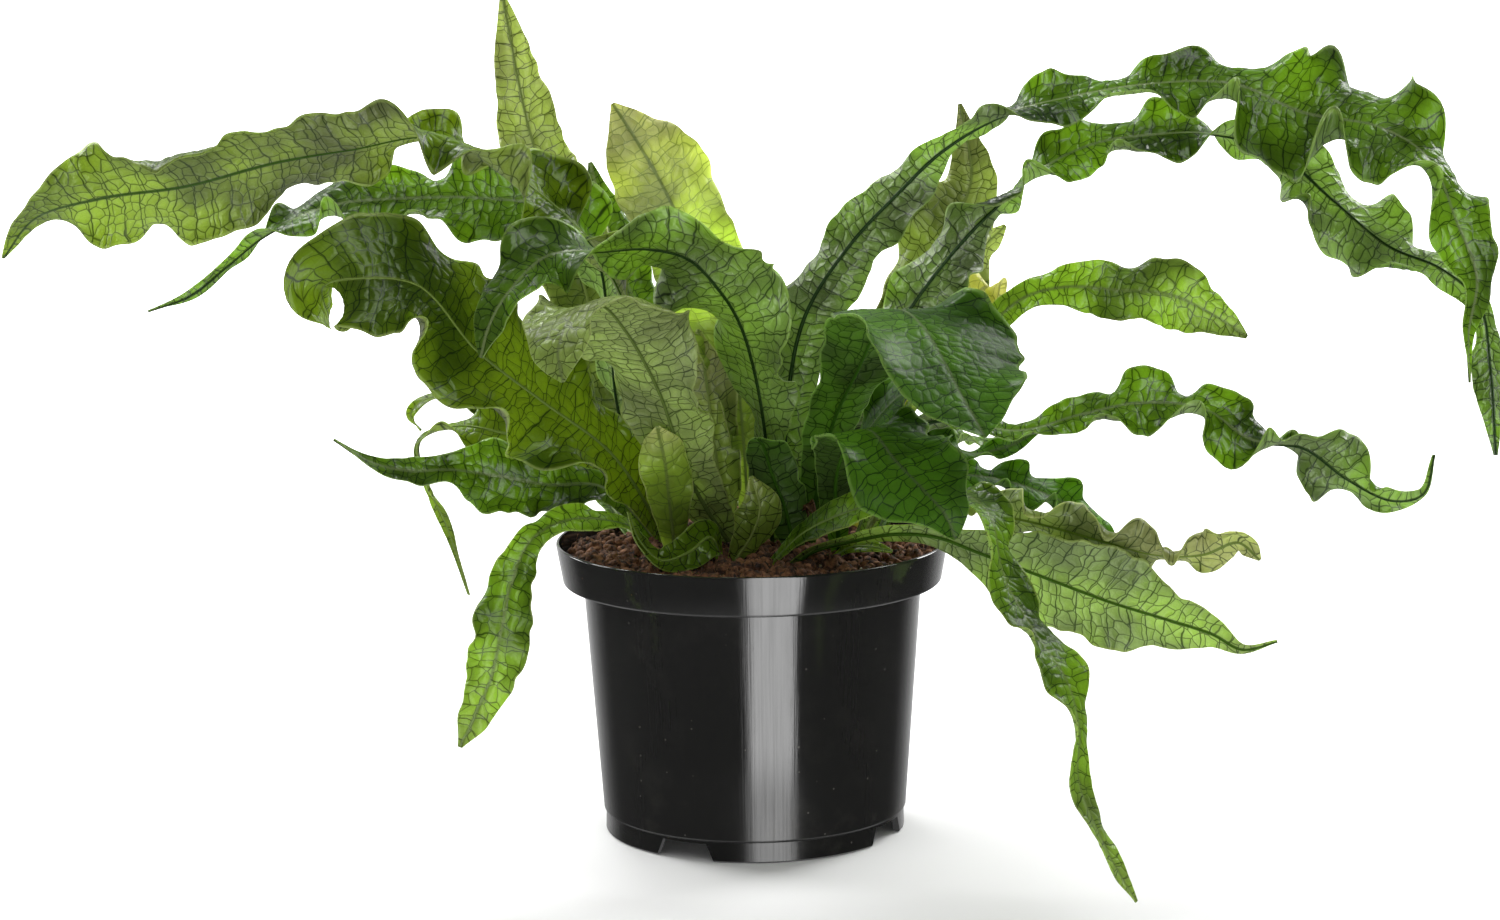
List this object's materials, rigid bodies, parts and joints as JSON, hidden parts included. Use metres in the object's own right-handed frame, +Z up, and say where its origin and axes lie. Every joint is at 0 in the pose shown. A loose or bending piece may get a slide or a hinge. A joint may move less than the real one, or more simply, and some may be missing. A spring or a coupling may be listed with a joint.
{
  "type": "potted fern",
  "caption": "Potted crocodile fern: long ruffled strap fronds that arch out and trail over the rim of a round black nursery pot with a collar and notched foot.",
  "frame": {"origin": "middle of the pot's foot, on the surface it stands on; the fronds spread evenly enough that this is also the middle of the bounding box's base", "axes": "+Z up, +X to the right along the fern's greatest spread, -Y towards the viewer at the front"},
  "size_m": [0.7229, 0.3981, 0.4006],
  "materials": {
    "pot_plastic": "gloss",
    "peat": "matte",
    "leaf_green": "satin",
    "leaf_dark": "satin",
    "leaf_pale": "satin",
    "leaf_underside": "matte",
    "leaf_yellow": "satin",
    "leaf_withered": "matte"
  },
  "bodies": {
    "root": {"pot": "pot_plastic", "soil": "peat", "long_left_frond": "leaf_green", "twisted_left_frond": "leaf_dark", "broad_left_frond": "leaf_green", "low_left_frond": "leaf_dark", "curled_left_frond": "leaf_green", "wispy_left_frond": "leaf_green", "over_rim_left_frond": "leaf_green", "hooked_soil_leaf": "leaf_green", "spoon_leaf": "leaf_pale", "grey_arching_frond": "leaf_underside", "centre_arching_frond": "leaf_dark", "small_front_leaf": "leaf_pale", "dark_front_leaf": "leaf_dark", "pale_inner_leaf": "leaf_pale", "tall_pale_frond": "leaf_pale", "second_pale_frond": "leaf_pale", "back_left_leaf": "leaf_dark", "long_right_frond": "leaf_dark", "second_right_frond": "leaf_dark", "pale_right_frond": "leaf_pale", "back_right_pale_leaf": "leaf_pale", "yellow_leaf": "leaf_yellow", "broad_right_frond": "leaf_dark", "low_dark_right_frond": "leaf_dark", "upper_right_frond": "leaf_green", "wavy_right_frond": "leaf_dark", "twisted_right_leaf": "leaf_dark", "shaded_right_frond": "leaf_dark", "grey_right_frond": "leaf_pale", "bright_right_frond": "leaf_green", "long_drooping_frond": "leaf_green", "tiny_soil_leaf": "leaf_green", "shaded_inner_leaf": "leaf_dark", "gap_leaf": "leaf_green", "back_frond": "leaf_green", "back_left_frond": "leaf_green", "back_right_frond": "leaf_dark", "low_back_left_frond": "leaf_dark", "low_back_right_frond": "leaf_dark", "withered_scrap": "leaf_withered"}
  },
  "joints": []
}
